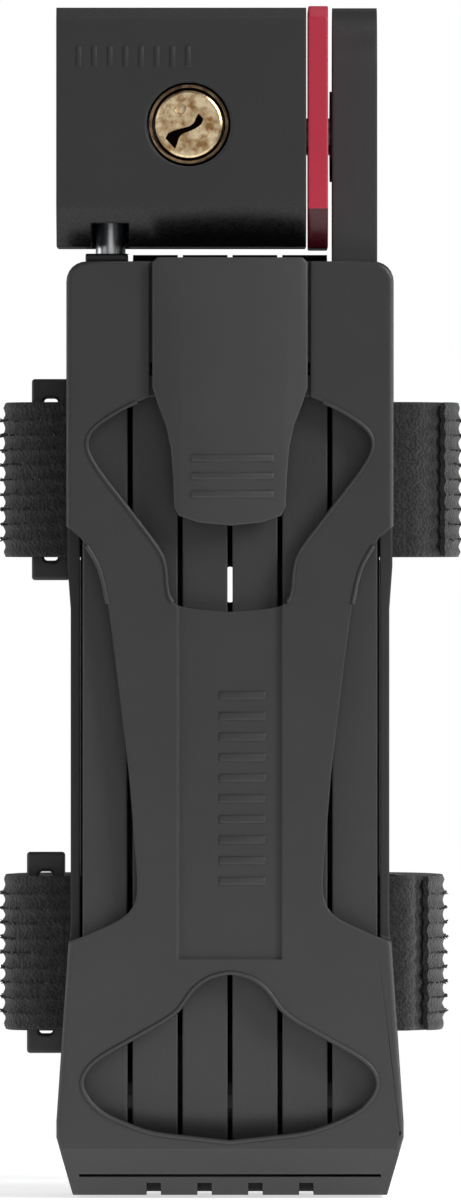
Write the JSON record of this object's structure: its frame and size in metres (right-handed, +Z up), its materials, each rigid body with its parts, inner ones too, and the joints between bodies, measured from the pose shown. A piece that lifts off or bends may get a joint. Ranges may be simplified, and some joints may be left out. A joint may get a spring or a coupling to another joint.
{
  "type": "folding bike lock in a frame holster",
  "caption": "Folding bike lock with coated steel bars and a keyed lock body, folded up in a plastic holster that straps or bolts to a bicycle frame.",
  "frame": {"origin": "on the holster's flat back face, midway between its two bolt slots", "axes": "+Z up along the folded bars, +Y out of the back towards the bicycle frame, front towards -Y, +X to the right seen from the front"},
  "size_m": [0.0736, 0.0701, 0.1906],
  "materials": {
    "holster_plastic": "moulded, fine matt texture",
    "tab_plastic": "moulded, satin",
    "soft_cover": "soft-touch, matt",
    "bar_coating": "moulded coating, satin",
    "spacer_plastic": "plain",
    "accent_plastic": "satin red",
    "strap_fabric": "woven hook-and-loop tape",
    "buckle_plastic": "moulded loop",
    "hardened_steel": "ground",
    "bright_steel": "polished",
    "spring_wire": "bright wire",
    "cylinder_brass": "machined"
  },
  "bodies": {
    "holster": {"holster_shell": "holster_plastic", "holster_back": "holster_plastic", "holster_screw_1": "bright_steel", "holster_screw_2": "bright_steel", "holster_screw_3": "bright_steel", "holster_screw_4": "bright_steel", "tab_pivot_pin": "bright_steel", "tab_spring": "spring_wire", "strap_upper": "strap_fabric", "strap_upper_tail": "strap_fabric", "strap_upper_buckle": "buckle_plastic", "strap_lower": "strap_fabric", "strap_lower_tail": "strap_fabric", "strap_lower_buckle": "buckle_plastic"},
    "release_tab": {"release_tab": "tab_plastic"},
    "bar_1": {"bar_1_core": "hardened_steel", "bar_1_jacket": "bar_coating", "bar_rivet_1": "bright_steel", "bar_washer_1": "spacer_plastic", "body_rivet": "bright_steel", "body_washer": "spacer_plastic"},
    "bar_2": {"bar_2_core": "hardened_steel", "bar_2_jacket": "bar_coating", "bar_rivet_2": "bright_steel", "bar_washer_2": "spacer_plastic"},
    "bar_3": {"bar_3_core": "hardened_steel", "bar_3_jacket": "bar_coating", "bar_rivet_3": "bright_steel", "bar_washer_3": "spacer_plastic"},
    "bar_4": {"bar_4_core": "hardened_steel", "bar_4_jacket": "bar_coating", "bar_rivet_4": "bright_steel", "bar_washer_4": "spacer_plastic"},
    "bar_5": {"bar_5_core": "hardened_steel", "bar_5_jacket": "bar_coating", "bar_rivet_5": "bright_steel", "bar_washer_5": "spacer_plastic"},
    "bar_6": {"bar_6_core": "hardened_steel", "bar_6_jacket": "bar_coating", "locking_pin": "bright_steel", "locking_pin_cap": "bar_coating"},
    "lock_body": {"body_cover_front": "soft_cover", "body_cover_rear": "soft_cover", "accent_band": "accent_plastic", "lock_case": "hardened_steel", "case_plate": "hardened_steel", "case_screw_1": "bright_steel", "case_screw_2": "bright_steel", "case_screw_3": "bright_steel", "case_screw_4": "bright_steel", "pin_bush": "hardened_steel", "cylinder_barrel": "bright_steel", "bolt_spring": "spring_wire"},
    "key_plug": {"cylinder_plug": "cylinder_brass", "cylinder_cam": "hardened_steel", "cam_screw": "bright_steel", "cylinder_wafer_1": "cylinder_brass", "cylinder_wafer_2": "cylinder_brass", "cylinder_wafer_3": "cylinder_brass"},
    "bolt": {"locking_bolt": "bright_steel"}
  },
  "joints": [
    {"name": "lock_slide", "type": "slide", "parent": "holster", "child": "bar_1", "axis": [0, 0, 1], "range_m": [0, 0.155]},
    {"name": "release_tab_press", "type": "hinge", "parent": "holster", "child": "release_tab", "pos_m": [0, -0.0261, 0.0665], "axis": [1, 0, 0], "range_deg": [0, 5], "stiffness_Nm_per_rad": 0.4, "springref_deg": -8.59, "deforming": ["tab_spring"]},
    {"name": "body_swing", "type": "hinge", "parent": "bar_1", "child": "lock_body", "pos_m": [0.02, -0.014, 0.104], "axis": [1, 0, 0], "range_deg": [-180, 180]},
    {"name": "bar_hinge_1_2", "type": "hinge", "parent": "bar_1", "child": "bar_2", "pos_m": [0.016, -0.014, -0.051], "axis": [1, 0, 0], "range_deg": [-180, 180]},
    {"name": "bar_hinge_2_3", "type": "hinge", "parent": "bar_2", "child": "bar_3", "pos_m": [0.008, -0.014, 0.075], "axis": [1, 0, 0], "range_deg": [-180, 180]},
    {"name": "bar_hinge_3_4", "type": "hinge", "parent": "bar_3", "child": "bar_4", "pos_m": [0, -0.014, -0.051], "axis": [1, 0, 0], "range_deg": [-180, 180]},
    {"name": "bar_hinge_4_5", "type": "hinge", "parent": "bar_4", "child": "bar_5", "pos_m": [-0.008, -0.014, 0.075], "axis": [1, 0, 0], "range_deg": [-180, 180]},
    {"name": "bar_hinge_5_6", "type": "hinge", "parent": "bar_5", "child": "bar_6", "pos_m": [-0.016, -0.014, -0.051], "axis": [1, 0, 0], "range_deg": [-180, 180]},
    {"name": "plug_turn", "type": "hinge", "parent": "lock_body", "child": "key_plug", "pos_m": [-0.0066, -0.029, 0.1056], "axis": [0, 1, 0], "range_deg": [0, 90]},
    {"name": "bolt_slide", "type": "slide", "parent": "lock_body", "child": "bolt", "axis": [1, 0, 0], "range_m": [0, 0.0045], "deforming": ["bolt_spring"]}
  ],
  "couplings": [
    {"joint": "plug_turn", "follows": "bolt_slide", "rad_per_m": 348},
    {"joint": "body_swing", "follows": "lock_slide", "rad_per_m": 0.005},
    {"joint": "bar_hinge_1_2", "follows": "lock_slide", "rad_per_m": 0.005},
    {"joint": "bar_hinge_2_3", "follows": "lock_slide", "rad_per_m": -0.005},
    {"joint": "bar_hinge_3_4", "follows": "lock_slide", "rad_per_m": -0.005},
    {"joint": "bar_hinge_4_5", "follows": "lock_slide", "rad_per_m": 0.005},
    {"joint": "bar_hinge_5_6", "follows": "lock_slide", "rad_per_m": 0.005}
  ]
}
